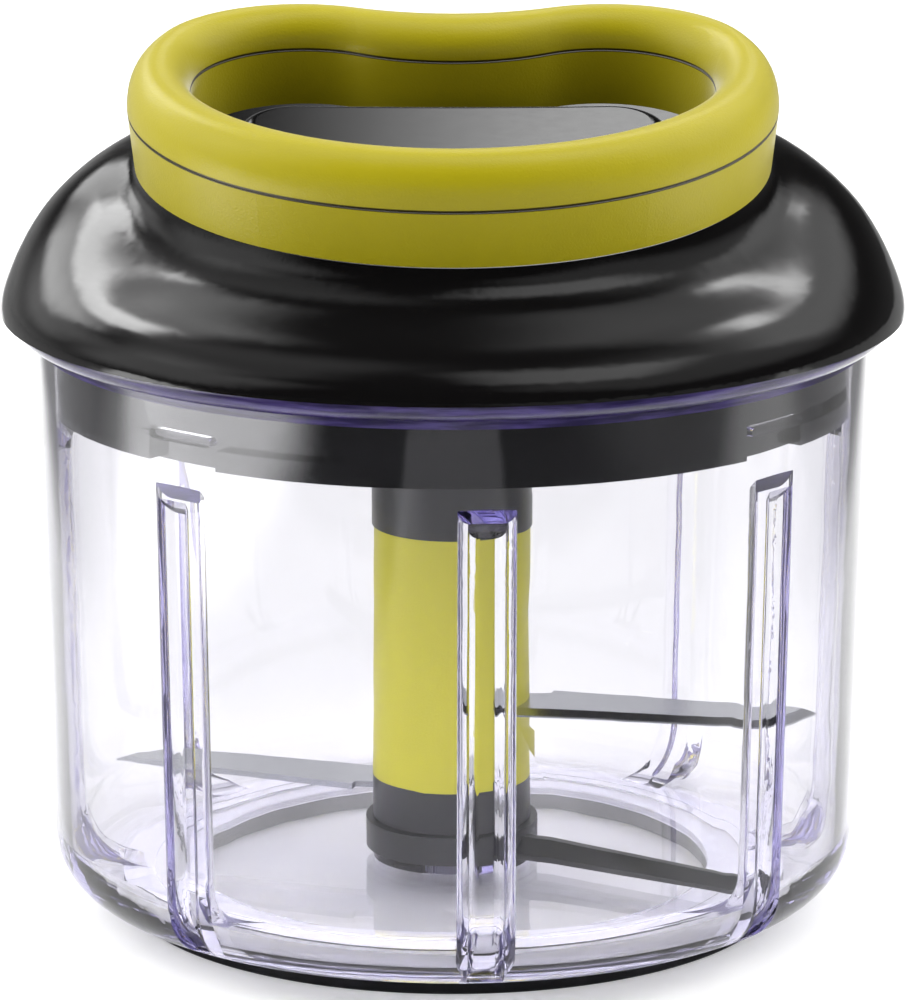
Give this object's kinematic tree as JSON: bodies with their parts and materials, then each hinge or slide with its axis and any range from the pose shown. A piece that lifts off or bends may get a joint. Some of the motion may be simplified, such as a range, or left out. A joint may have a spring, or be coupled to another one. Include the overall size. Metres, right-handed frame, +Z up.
{
  "type": "pull-cord food chopper",
  "caption": "Hand food chopper: clear round bowl with lugs, ribs and a rubber foot, twist-lock domed lid, and a kidney-shaped ring handle on a cord that spins a blade shaft.",
  "frame": {"origin": "centre of the foot ring at table level", "axes": "+Z up along the blade shaft, -Y towards the front, where the handle ring is lowest, +X to the right"},
  "size_m": [0.1464, 0.1464, 0.1438],
  "materials": {
    "clear_plastic": "clear",
    "soft_rubber": "matte",
    "pin_steel": "satin",
    "dark_plastic": "satin",
    "green_plastic": "satin",
    "blade_steel": "ground",
    "gloss_black": "polished",
    "white_plastic": "moulded",
    "cord": "braided",
    "olive_plastic": "soft"
  },
  "bodies": {
    "bowl": {"bowl": "clear_plastic", "non_slip_ring": "soft_rubber", "pivot_pin": "pin_steel"},
    "seal": {"lid_seal": "soft_rubber"},
    "lid": {"lid_base": "dark_plastic", "lid_cover": "gloss_black", "lid_screws": "pin_steel", "centre_cap": "gloss_black", "cord_eyelet": "pin_steel", "cord_guide": "white_plastic", "cord_run": "cord", "spring_housing": "white_plastic", "recoil_spring": "blade_steel", "axle": "pin_steel"},
    "reel": {"reel": "white_plastic", "cord_winding": "cord", "pawls": "pin_steel"},
    "drive": {"drive_coupling": "white_plastic"},
    "handle": {"handle_lower_shell": "olive_plastic", "handle_upper_shell": "olive_plastic", "handle_screws": "pin_steel", "cord_knot": "cord", "pull_cord": "cord"},
    "bush": {"pivot_bush": "dark_plastic"},
    "blades": {"shaft_core": "dark_plastic", "shaft_sleeve": "green_plastic", "lower_collar": "dark_plastic", "shaft_cap": "dark_plastic", "cap_pin": "pin_steel", "upper_blade": "blade_steel", "lower_blade": "blade_steel", "mixing_arm": "dark_plastic"}
  },
  "joints": [
    {"name": "lid_lift", "type": "slide", "parent": "bowl", "child": "seal", "axis": [0, 0, 1], "range_m": [0, 0.16]},
    {"name": "lid_turn", "type": "hinge", "parent": "seal", "child": "lid", "pos_m": [0, 0, 0.1002], "axis": [0, 0, 1], "range_deg": [-16.7, 0]},
    {"name": "handle_pull", "type": "slide", "parent": "lid", "child": "handle", "axis": [0, -0.1668, 0.986], "range_m": [0, 0.3], "stiffness_N_per_m": 20, "springref_m": -0.1, "deforming": ["pull_cord"]},
    {"name": "reel_spin", "type": "hinge", "parent": "lid", "child": "reel", "pos_m": [0, 0, 0.102], "axis": [0, 0, 1], "range_deg": [-960, 0]},
    {"name": "drive_spin", "type": "hinge", "parent": "lid", "child": "drive", "pos_m": [0, 0, 0.092], "axis": [0, 0, 1], "range_deg": [-960, 0]},
    {"name": "blade_lift", "type": "slide", "parent": "bowl", "child": "bush", "axis": [0, 0, 1], "range_m": [0, 0.1]},
    {"name": "blade_spin", "type": "hinge", "parent": "bush", "child": "blades", "pos_m": [0, 0, 0.05], "axis": [0, 0, 1], "range_deg": [-960, 0]}
  ],
  "couplings": [
    {"joint": "reel_spin", "follows": "handle_pull", "rad_per_m": -55.249},
    {"joint": "drive_spin", "follows": "handle_pull", "rad_per_m": -55.249},
    {"joint": "blade_spin", "follows": "handle_pull", "rad_per_m": -55.249},
    {"joint": "blade_lift", "follows": "lid_lift", "ratio": 0.625}
  ]
}
